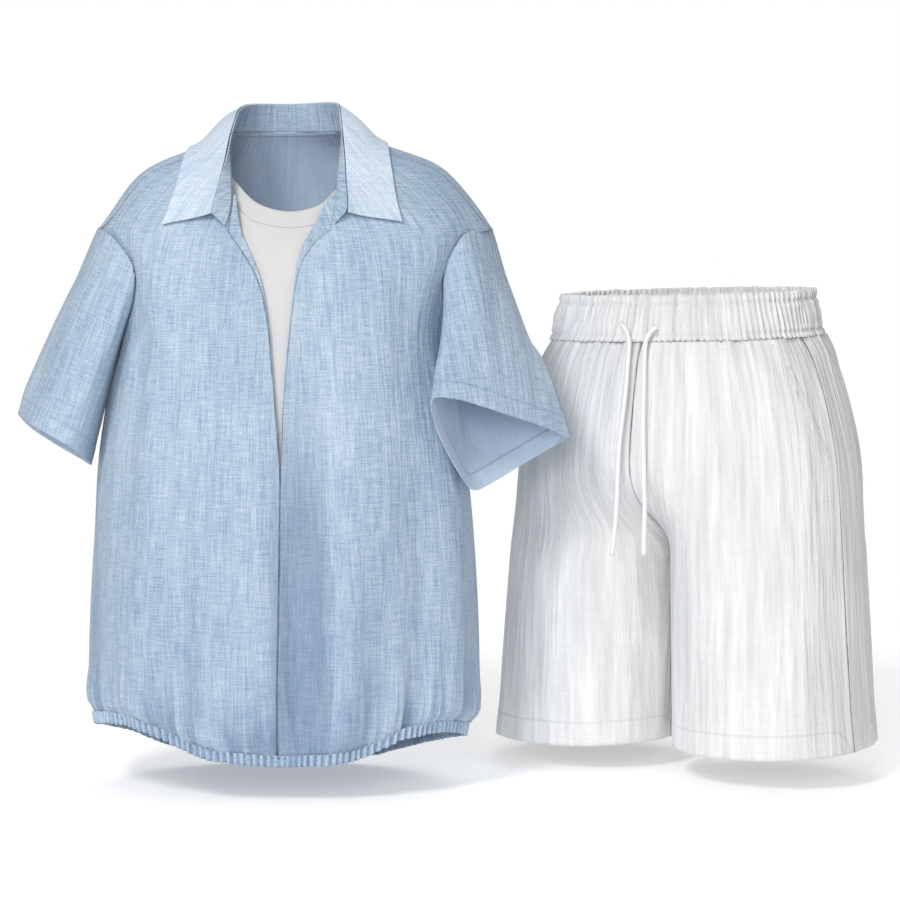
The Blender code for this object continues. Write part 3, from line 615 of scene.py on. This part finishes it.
def body_fold_shade(points):
    """How much painted shade each point takes, 0 to 1: it deepens in folds and puckers and towards the
    bottom of the body, where less light reaches.
    """
    share = BODY.share(points)
    z = points[:, 2]
    above = np.maximum(above_hem(points), 0)
    low = 1 - ramp(z, -0.50, -0.22)
    broad = np.clip(-1.7 * rumple(share, z, *BROAD_FOLDS), 0, 1)
    middle = np.clip(-1.5 * rumple(share, z, *GATHERS), 0, 1)
    tight = np.clip(3.2 * np.abs(rumple(share, z, *PUCKERS)) - 1.0, 0, 1)
    depth = 0.24 * low + (0.30 + 0.55 * low) * broad + 0.75 * np.exp(-above / 0.10) * middle
    return np.clip(depth + 0.8 * np.exp(-above / 0.036) * tight, 0, 1)


def shape_body(piece, calm=1.0):
    """Soft folds, puckers over the elastic and a little fullness, the same for every panel, with painted
    shade marked in their valleys.
    """
    points = points_of(piece)
    # Painted shade: the material darkens the cloth by this mark in folds, puckers and the lower body.
    mark(piece, "fold", body_fold_shade(points))
    points += BODY.out(points) * (calm * body_rise(points))[:, None]
    move_to(piece, points)


def sewn_lines(wire):
    """How dark and how high the cloth is beside its seams and turned hems, by its distances."""

    def ridge(value, middle, half):
        off = wire.node("ShaderNodeMath", {"operation": "ABSOLUTE"}, {0: value - middle})
        return wire.node(
            "ShaderNodeMapRange", {"interpolation_type": "SMOOTHSTEP"},
            {"Value": off, "From Min": 0.0, "From Max": half, "To Min": 1.0, "To Max": 0.0},
        )

    def step(value, start, end):
        return wire.node(
            "ShaderNodeMapRange", {"interpolation_type": "SMOOTHSTEP"},
            {"Value": value, "From Min": start, "From Max": end},
        )

    seam = wire.node("ShaderNodeAttribute", {"attribute_name": "seam"}, out="Fac") * 1000.0
    row = wire.node("ShaderNodeAttribute", {"attribute_name": "row"}, out="Fac") * 1000.0
    hem = wire.node("ShaderNodeAttribute", {"attribute_name": "hem"}, out="Fac")
    join = ridge(seam, 0.0, 1.3)
    rows = ridge(row, 6.0, 1.1) + ridge(hem, 1.0, 0.07)
    dark = join * 0.55 + rows * 0.30
    high = step(seam, 0.2, 1.6) - step(row, 6.2, 8.0) * 0.5 - ridge(row, 6.0, 1.4) * 0.5
    high = high - step(hem, 1.0, 1.08) * 0.6 - ridge(hem, 1.0, 0.09) * 0.5
    return dark, high


def yarns(wire, uv, across, along, detail, rough):
    """Uneven streaks, so many to the metre across and along the threads."""
    stretched = wire.node("ShaderNodeMapping", {}, {"Vector": uv, "Scale": (across, along, 1.0)})
    return wire.node(
        "ShaderNodeTexNoise",
        {"noise_dimensions": "2D"},
        {"Vector": stretched, "Scale": 1.0, "Detail": detail, "Roughness": rough},
    )


def chambray(name, blue, pale, slub):
    """Blue warp and white weft yarns: upright and level slubs over a fine heather, and crinkles."""
    finish, shader, wire = new_finish(name)
    uv = wire.node("ShaderNodeUVMap", {"uv_map": "threads"})
    warp = yarns(wire, uv, 640, 28, 3.0, 0.6)
    weft = yarns(wire, uv, 46, 640, 3.0, 0.6)
    heather = yarns(wire, uv, 700, 760, 2.0, 0.6)
    drift = yarns(wire, uv, 10, 5, 2.0, 0.5)
    ripples = yarns(wire, uv, 160, 14, 3.0, 0.55)
    tone = warp * 0.40 + weft * 0.36 + heather * 0.44 + drift * 0.16 + ripples * 0.20 - 0.28
    tone = wire.node(
        "ShaderNodeMapRange", {}, {"Value": tone, "From Min": 0.5 - slub, "From Max": 0.5 + slub}
    )
    colour = blend(wire, tone, blue, pale)
    # Painted light: the cloth facing into the garment is painted paler and bluer, in place of light that
    # reaches the inside.
    inner = wire.node("ShaderNodeAttribute", {"attribute_name": "inner"}, out="Fac")
    inside_painted_light = (pale[0] * 1.02, pale[1] * 1.07, pale[2] * 1.15, 1)
    colour = blend(wire, inner * 0.75, colour, inside_painted_light)
    dark, high = sewn_lines(wire)
    shade = (blue[0] * 0.5, blue[1] * 0.5, blue[2] * 0.6, 1)
    # Painted shade: the colour darkens towards the shade colour deep in folds and puckers, by the value
    # marked on the cloth; the dark seam lines are the seams' own colour.
    fold = wire.node("ShaderNodeAttribute", {"attribute_name": "fold"}, out="Fac")
    feed(shader, "Base Color", blend(wire, dark + fold * 0.55, colour, shade))
    shader.inputs["Roughness"].default_value = 0.9
    shader.inputs["Specular IOR Level"].default_value = 0.25
    shader.inputs["Sheen Weight"].default_value = 0.15
    weave = relief(wire, warp * 0.5 + weft * 0.3 + heather * 0.4, 0.6, 0.0007)
    rippled = relief(wire, ripples, 0.8, 0.0022, weave)
    feed(shader, "Normal", relief(wire, high, 0.8, 0.0012, rippled))
    return finish


CHAMBRAY = chambray("blue_crinkle_chambray", (0.205, 0.33, 0.475, 1), (0.565, 0.65, 0.735, 1), 0.18)


def dress(piece, node, finish):
    """The piece takes its cloth, stands for its soft solid and rides with the set."""
    for line in ("seam", "row", "hem"):
        if line not in piece.data.attributes:
            mark_distance(piece, line, [])
    piece.data.materials.append(finish)
    pick(piece)
    bpy.ops.object.shade_smooth_by_angle(angle=math.radians(60))
    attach(piece, "root")
    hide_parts(node)


BODY_PANELS = {
    "shirt_front_right": ("crinkle_front_right", 3, 1, (0.33, 0.72), 0.150),
    "shirt_front_left": ("crinkle_front_left", 3, 1, (0.34, 0.72), 0.156),
    "shirt_back": ("crinkle_back", 2, 1, (0.62, 0.74), 0.365),
}
SLEEVE_NODES = ["sleeve_right", "sleeve_left"]
TOPSTITCHED = [*BODY_PANELS, *SLEEVE_NODES]
ARMHOLE_TUCK = 0.0025
HEM_TUCK = 0.0024
HEM_LAP = 0.0060
CENTRE = {"shirt_front_right": "shirt_front_left", "shirt_front_left": "shirt_front_right"}
shirt = {}
for node, (name, levels, cuts, flat, area) in BODY_PANELS.items():
    piece = cloth_copy(node, name, levels, cuts)
    points = points_of(piece)
    thread_map(piece, BODY.share(points) * BODY.girth, points[:, 2], BODY.girth)
    mark_inner(piece, BODY.out(points))
    sewn_to = [other for other in trees if other != "shirt_hem_band"]
    mark_distance(piece, "seam", seam_runs(node, sewn_to))
    stitched_to = [other for other in [*TOPSTITCHED, "collar_stand"] if other != CENTRE.get(node)]
    mark_distance(piece, "row", seam_runs(node, stitched_to))
    armhole = mark_distance(piece, "armhole", seam_runs(node, SLEEVE_NODES))
    points -= BODY.out(points) * (ARMHOLE_TUCK * (1 - ramp(armhole, 0.0, 0.03)))[:, None]
    move_to(piece, points)
    hemline = mark_distance(piece, "hemline", seam_runs(node, ["shirt_hem_band"]))
    shape_body(piece, ramp(armhole, 0.004, 0.04) * ramp(hemline, 0.0, 0.012))
    points = points_of(piece)
    points -= BODY.out(points) * (HEM_TUCK * (1 - ramp(hemline, 0.001, 0.010)))[:, None]
    points[:, 2] -= HEM_LAP * (1 - ramp(hemline, 0.001, 0.014))
    move_to(piece, points)
    dress(piece, node, CHAMBRAY)
    shirt[node] = piece

# The sleeves: short, wide, dropped tubes of the same chambray, sewn round the armholes, each with
# a deep turned hem. The right one hangs down and out; the left one is lifted and stands open.
SLEEVES = {
    "sleeve_right": ("crinkle_sleeve_right", (-0.188, 0.005, -0.16), (-0.252, 0.012, -0.335), 1.0),
    "sleeve_left": ("crinkle_sleeve_left", (0.188, 0.005, -0.16), (0.225, -0.070, -0.345), 0.7),
}
SLEEVE_RADIUS = 0.082
CUFF_HEM = 0.019
HEAD_FULLNESS = 0.0034
HEAD_LAP = 0.0045
sleeve_round = {}
for node, (name, top, cuff, looseness) in SLEEVES.items():
    piece = cloth_copy(node, name, 4, 0, 0.0004)
    head = mark_distance(piece, "seam", seam_runs(node, list(BODY_PANELS)))
    mark_distance(piece, "hem", seam_runs(node, []), CUFF_HEM)
    axis = (Vector(top) - Vector(cuff)).normalized()
    side = Vector((0, -1, 0)).cross(axis).normalized()
    turn = Matrix((side, axis.cross(side), axis)).transposed()
    tube = Round(top, SLEEVE_RADIUS, SLEEVE_RADIUS, turn)
    sleeve_round[node] = tube
    points = points_of(piece)
    mark_inner(piece, tube.out(points))
    share = tube.share(points)
    down = -tube.along(points)
    length = (Vector(top) - Vector(cuff)).length
    loose = ramp(down, 0.0, 0.07) * (1 - ramp(down, length - 0.045, length - 0.01))
    rise = looseness * loose * 0.0040 * rumple(share, down, 9, 0.18, 21)
    rise += looseness * loose * 0.0022 * rumple(share, down, 23, 0.12, 23)
    rise += HEAD_FULLNESS * (1 - ramp(head, 0.0, 0.055))
    points += tube.out(points) * rise[:, None]
    points += np.array(axis) * (HEAD_LAP * (1 - ramp(head, 0.0005, 0.020)))[:, None]
    move_to(piece, points)
    thread_map(piece, share * tube.girth, tube.along(points), tube.girth)
    dress(piece, node, CHAMBRAY)
    shirt[node] = piece

# The collar: a stand sewn to the neck and a pointed leaf that rolls over it, both interfaced and
# firm, and the two facings that turn in along the slit. All of them are the same chambray, but the
# leaf's copy of it is painted paler: painted light on its upward face.
NECK = Round((0.0, 0.0), 0.075, 0.085)
STAND_LAP = 0.0028
SMALL_PIECES = {
    "collar_stand": ("collar_stand_cloth", (0.44, 0.036), 0.0125),
    "collar_fall": ("collar_leaf_cloth", (0.56, 0.085), 0.040),
    "facing_right": ("facing_right_cloth", (0.23, 0.020), 0.0034),
    "facing_left": ("facing_left_cloth", (0.23, 0.020), 0.0034),
}
# Painted light: the leaf's copy of the chambray is paler, for the light its upward face catches.
COLLAR_BLUE_PAINTED_LIGHT = chambray("blue_chambray_collar_painted_light", (0.40, 0.52, 0.67, 1), (0.74, 0.80, 0.87, 1), 0.22)
for node, (name, flat, area) in SMALL_PIECES.items():
    piece = cloth_copy(node, name, 3)
    if node == "collar_stand":
        above_seam = mark_distance(piece, "neck", seam_runs(node, ["shirt_back"], 0.005))
        points = points_of(piece)
        points[:, 2] -= STAND_LAP * (1 - ramp(above_seam, 0.001, 0.010))
        move_to(piece, points)
    if node.startswith("facing"):
        points = points_of(piece)
        points += BODY.out(points) * body_rise(points)[:, None]
        move_to(piece, points)
    points = points_of(piece)
    share = NECK.share(points)
    z = points[:, 2]
    points += NECK.out(points) * (0.0005 * rumple(share, z, 31, 0.03, 31))[:, None]
    move_to(piece, points)
    thread_map(piece, share * NECK.girth, z, NECK.girth)
    dress(piece, node, COLLAR_BLUE_PAINTED_LIGHT if node == "collar_fall" else CHAMBRAY)

# The hem band: a narrow tube of the chambray, drawn up on elastic into close upright puckers and
# sewn to the lower edge of the fronts and the back.
BAND_BLUE = chambray("blue_chambray_band", (0.21, 0.335, 0.49, 1), (0.57, 0.66, 0.75, 1), 0.18)
HEM_RIBS = 150
HEM_FULLNESS = 1.3
piece = cloth_copy("shirt_hem_band", "elastic_hem_band", 2)
points = points_of(piece)
share = BODY.share(points)
wander = 2.2 * rumple(share, 0 * share, 34, 1.0, 45)
ribs = np.sin(2 * math.pi * HEM_RIBS * share + wander)
# Painted shade: the rib valleys are marked darker for the material.
mark(piece, "fold", np.clip(0.35 - 0.75 * ribs, 0, 1))
rise = 0.0022 * ribs + 0.0012 * rumple(share, points[:, 2], 90, 0.03, 43) - 0.0012
points += BODY.out(points) * rise[:, None]
points[:, 2] += 0.0006 * rumple(share, 0 * share, HEM_RIBS, 1.0, 47)
move_to(piece, points)
cut_length = BODY.girth * HEM_FULLNESS
thread_map(piece, share * BODY.girth * HEM_FULLNESS, points[:, 2], cut_length)
dress(piece, "shirt_hem_band", BAND_BLUE)

# The mock tee: a front of fine white jersey with a doubled band round its neck. It has no back,
# and it is sewn inside the slit along both of its sides.
TEE_PIECES = {
    "tee_front": ("jersey_tee_front", (0.14, 0.30), 0.0165),
    "tee_neckband": ("jersey_tee_neckband", (0.17, 0.023), 0.0038),
}


def jersey():
    """Fine white knit: small upright wales, close to smooth at arm's length."""
    finish, shader, wire = new_finish("white_knit_jersey")
    uv = wire.node("ShaderNodeUVMap", {"uv_map": "threads"})
    across = wire.node("ShaderNodeSeparateXYZ", inputs={0: uv})
    wales = wire.math("SINE", across * 4200, 0)
    fuzz = wire.node("ShaderNodeTexNoise", {}, {"Vector": uv, "Scale": 700.0, "Detail": 3.0})
    soft = wire.node("ShaderNodeTexNoise", {}, {"Vector": uv, "Scale": 24.0, "Detail": 2.0})
    # Painted shade: the knit's white is painted grey throughout, for the shade of the shirt around the
    # tee; the noise between the two greys is its own uneven tone.
    shade = blend(wire, fuzz * 0.5 + soft * 0.5, (0.55, 0.55, 0.555, 1), (0.69, 0.69, 0.69, 1))
    feed(shader, "Base Color", shade)
    shader.inputs["Roughness"].default_value = 0.9
    shader.inputs["Specular IOR Level"].default_value = 0.2
    feed(shader, "Normal", relief(wire, wales * 0.3 + fuzz * 0.7, 0.4, 0.0003))
    return finish


JERSEY = jersey()
for node, (name, flat, area) in TEE_PIECES.items():
    piece = cloth_copy(node, name, 3, 0, 0.0006)
    points = points_of(piece)
    share = NECK.share(points)
    if node == "tee_front":
        drape = 0.0030 * ramp(-points[:, 2], 0.09, 0.15) * rumple(share, points[:, 2], 26, 0.25, 51)
        points += NECK.out(points) * drape[:, None]
        points += BODY.out(points) * body_rise(points)[:, None]
        move_to(piece, points)
    thread_map(piece, share * NECK.girth, points[:, 2], NECK.girth)
    dress(piece, node, JERSEY)

# The shorts: two fronts and two backs of white crinkle cloth, wide in the leg, with upright
# crinkles all over, gathers under the waistband and a deep turned hem.
SHORTS_TURN = math.radians(33)
SHORTS_FRAME = Matrix.Rotation(-SHORTS_TURN, 3, "Z")
HIPS = Round((0.4463, 0.112), 0.195, 0.122, SHORTS_FRAME)
HEM_Z = -0.683
WAIST_SEAM_Z = -0.2262
WAIST_SLANT = 0.035
SHORTS_HEM = 0.027


def level_of(points):
    """Heights measured along the shorts, which hang a little askew: their right side is higher."""
    return points[:, 2] - WAIST_SLANT * (points[:, 0] - HIPS.middle[0])


def crinkle(name, shadow, light):
    """White crinkled cotton: upright ridges of uneven width, a fine weave and faint slubs."""
    finish, shader, wire = new_finish(name)
    uv = wire.node("ShaderNodeUVMap", {"uv_map": "threads"})
    ridges = yarns(wire, uv, 150, 9, 3.0, 0.5)
    wide = yarns(wire, uv, 55, 5, 2.0, 0.5)
    threads = yarns(wire, uv, 700, 40, 2.0, 0.6)
    weft = yarns(wire, uv, 40, 620, 2.0, 0.6)
    tone = ridges * 0.6 + wide * 0.5 + threads * 0.25 + weft * 0.2 - 0.28
    tone = wire.node("ShaderNodeMapRange", {}, {"Value": tone, "From Min": 0.30, "From Max": 0.70})
    colour = blend(wire, tone, shadow, light)
    dark, high = sewn_lines(wire)
    # Painted shade: the colour darkens towards the grey deep in folds and gathers, by the value marked on
    # the cloth; the dark seam lines are the seams' own colour.
    fold = wire.node("ShaderNodeAttribute", {"attribute_name": "fold"}, out="Fac")
    feed(shader, "Base Color", blend(wire, dark + fold * 0.35, colour, (0.50, 0.50, 0.52, 1)))
    shader.inputs["Roughness"].default_value = 0.9
    shader.inputs["Specular IOR Level"].default_value = 0.25
    shader.inputs["Sheen Weight"].default_value = 0.1
    weave = relief(wire, threads * 0.5 + weft * 0.5, 0.4, 0.0005)
    crinkled = relief(wire, ridges * 0.7 + wide * 0.5, 0.9, 0.0044, weave)
    feed(shader, "Normal", relief(wire, high, 0.8, 0.0012, crinkled))
    return finish


WHITE_CRINKLE = crinkle("white_crinkle_cotton", (0.66, 0.66, 0.665, 1), (0.84, 0.84, 0.84, 1))
SHORTS_PANELS = {
    "shorts_front_right": ("crinkle_shorts_front_right", (0.36, 0.50), 0.145),
    "shorts_front_left": ("crinkle_shorts_front_left", (0.36, 0.50), 0.145),
    "shorts_back_right": ("crinkle_shorts_back_right", (0.42, 0.50), 0.172),
    "shorts_back_left": ("crinkle_shorts_back_left", (0.42, 0.50), 0.172),
}
SHORTS_FOLDS = (19, 0.40, 61)
SHORTS_SMALL_FOLDS = (47, 0.26, 63)
SHORTS_GATHERS = (56, 0.14, 65)
SHORTS_PUCKERS = (96, 0.08, 67)
shorts = {}
for node, (name, flat, area) in SHORTS_PANELS.items():
    piece = cloth_copy(node, name, 3, 1)
    mark_distance(piece, "seam", seam_runs(node, list(SHORTS_PANELS)))
    mark_distance(piece, "hem", seam_runs(node, []), SHORTS_HEM)
    points = points_of(piece)
    share = HIPS.share(points)
    z = level_of(points)
    below = np.maximum(WAIST_SEAM_Z - z, 0)
    calm = ramp(z, HEM_Z + 0.004, HEM_Z + 0.05) * 0.6 + 0.4
    outer = ramp(np.abs(HIPS.local(points)[:, 0]), 0.012, 0.05)
    rise = 0.0040 * ramp(below, 0.02, 0.16) * calm * outer * rumple(share, z, *SHORTS_FOLDS)
    rise += 0.0022 * ramp(below, 0.01, 0.05) * calm * outer * rumple(share, z, *SHORTS_SMALL_FOLDS)
    rise += 0.0034 * np.exp(-below / 0.05) * rumple(share, z, *SHORTS_GATHERS)
    rise += 0.0028 * np.exp(-below / 0.022) * (1 - 2 * np.abs(rumple(share, z, *SHORTS_PUCKERS)))
    rise += 0.0018 * np.exp(-(((below - 0.018) / 0.014) ** 2))
    # Painted shade: fold and gather valleys are marked darker for the material.
    broad = np.clip(-1.6 * rumple(share, z, *SHORTS_FOLDS), 0, 1) * ramp(below, 0.02, 0.16)
    gathers = np.clip(-1.6 * rumple(share, z, *SHORTS_GATHERS), 0, 1) * np.exp(-below / 0.07)
    mark(piece, "fold", 0.30 * broad + 0.55 * gathers)
    points += HIPS.out(points) * rise[:, None]
    move_to(piece, points)
    thread_map(piece, share * HIPS.girth, z, HIPS.girth)
    dress(piece, node, WHITE_CRINKLE)
    shorts[node] = piece

# The waistband: the same cloth doubled over four rows of elastic, gathered into fine puckers that
# pinch in at each row, and the narrow welts of the two slanted pockets.
BAND_WHITE = crinkle("white_crinkle_band", (0.68, 0.68, 0.685, 1), (0.87, 0.87, 0.87, 1))
WAIST_RIBS = 128
WAIST_FULLNESS = 1.4
ELASTIC_ROWS = (-0.1855, -0.1965, -0.2080, -0.2195)
piece = cloth_copy("shorts_waistband", "gathered_waistband", 2)
points = points_of(piece)
share = HIPS.share(points)
z = level_of(points)
pinch = sum(np.exp(-(((z - row) / 0.0016) ** 2)) for row in ELASTIC_ROWS)
wander = 2.0 * rumple(share, z, 30, 0.03, 69)
ribs = np.sin(2 * math.pi * WAIST_RIBS * share + wander)
# Painted shade: the rib valleys and the pinches at the elastic rows are marked darker.
mark(piece, "fold", np.clip(0.10 - 0.35 * ribs + 0.5 * pinch, 0, 1))
rise = 0.0021 * ribs + 0.0022 * rumple(share, z, 76, 0.02, 73) - 0.0026 * pinch
points += HIPS.out(points) * rise[:, None]
top = ramp(z, -0.184, -0.176)
points[:, 2] += 0.0010 * top * rumple(share, 0 * share, 120, 1.0, 75)
move_to(piece, points)
cut_length = HIPS.girth * WAIST_FULLNESS
thread_map(piece, share * HIPS.girth * WAIST_FULLNESS, z, cut_length)
dress(piece, "shorts_waistband", BAND_WHITE)
for node, name in (("pocket_welt_right", "pocket_mouth_right"), ("pocket_welt_left", "pocket_mouth_left")):
    piece = cloth_copy(node, name, 3)
    points = points_of(piece)
    thread_map(piece, HIPS.share(points) * HIPS.girth, points[:, 2], HIPS.girth)
    # Painted shade: each welt is marked evenly darker, as a painted shadow at the pocket mouth.
    mark(piece, "fold", np.full(len(points), 0.45))
    dress(piece, node, WHITE_CRINKLE)

# The sewing: rows of small thread stitches beside the topstitched seams and round the hems. Every
# stitch is a copy of one small round-ended bar that lies on the cloth.
STITCH = (0.0012, 0.00032, 0.00026)
STITCH_PITCH = 0.0034
ROW_INSET = 0.006


def thread_finish(name, colour):
    """Plain sewing thread, a little smoother than the cloth."""
    finish, shader, _ = new_finish(name)
    shader.inputs["Base Color"].default_value = colour
    shader.inputs["Roughness"].default_value = 0.7
    return finish


def sew(name, rows, finish):
    """Lays stitches along each row: its piece, the run, how far in, and the way out of the garment."""
    bpy.ops.object.select_all(action="DESELECT")
    bpy.ops.mesh.primitive_ico_sphere_add(subdivisions=1, radius=1, location=(0, 0, 0))
    threads = bpy.context.object
    threads.name = name
    bar = points_of(threads) * STITCH
    sides = np.array([list(face.vertices) for face in threads.data.polygons])
    corners = []
    faces = []
    for piece, run, inset, out in rows:
        sides_of_cloth = [face.vertices for face in piece.data.polygons]
        skin = BVHTree.FromPolygons(points_of(piece).tolist(), sides_of_cloth)
        line = evenly(run, STITCH_PITCH, inset)
        for start, end in zip(line[:-1], line[1:]):
            middle = (start + end) / 2
            way = out(middle[None])[0]
            found, normal, _, _ = skin.ray_cast(Vector(middle + 0.03 * way), Vector(-way), 0.06)
            if found is None:
                continue
            along = Vector(end - start).normalized()
            beside = normal.cross(along).normalized()
            axes = np.array([beside.cross(normal), beside, normal])
            faces.append(sides + len(corners) * len(bar))
            corners.append(bar @ axes + np.array(found))
    mesh = bpy.data.meshes.new(name)
    mesh.from_pydata(np.concatenate(corners).tolist(), [], np.concatenate(faces).tolist())
    threads.data = mesh
    mesh.materials.append(finish)
    pick(threads)
    bpy.ops.object.shade_smooth()
    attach(threads, "root")


rows = []
for node in BODY_PANELS:
    stitched_to = [other for other in TOPSTITCHED if other != CENTRE.get(node)]
    for run in seam_runs(node, stitched_to):
        rows.append((shirt[node], run, ROW_INSET, BODY.out))
for node, tube in sleeve_round.items():
    for run in seam_runs(node, []):
        rows.append((shirt[node], run, CUFF_HEM, tube.out))
sew("blue_stitches", rows, thread_finish("pale_blue_thread", (0.42, 0.54, 0.68, 1)))

rows = []
for node, piece in shorts.items():
    for run in seam_runs(node, []):
        rows.append((piece, run, SHORTS_HEM, HIPS.out))
sew("white_stitches", rows, thread_finish("white_thread", (0.74, 0.74, 0.74, 1)))
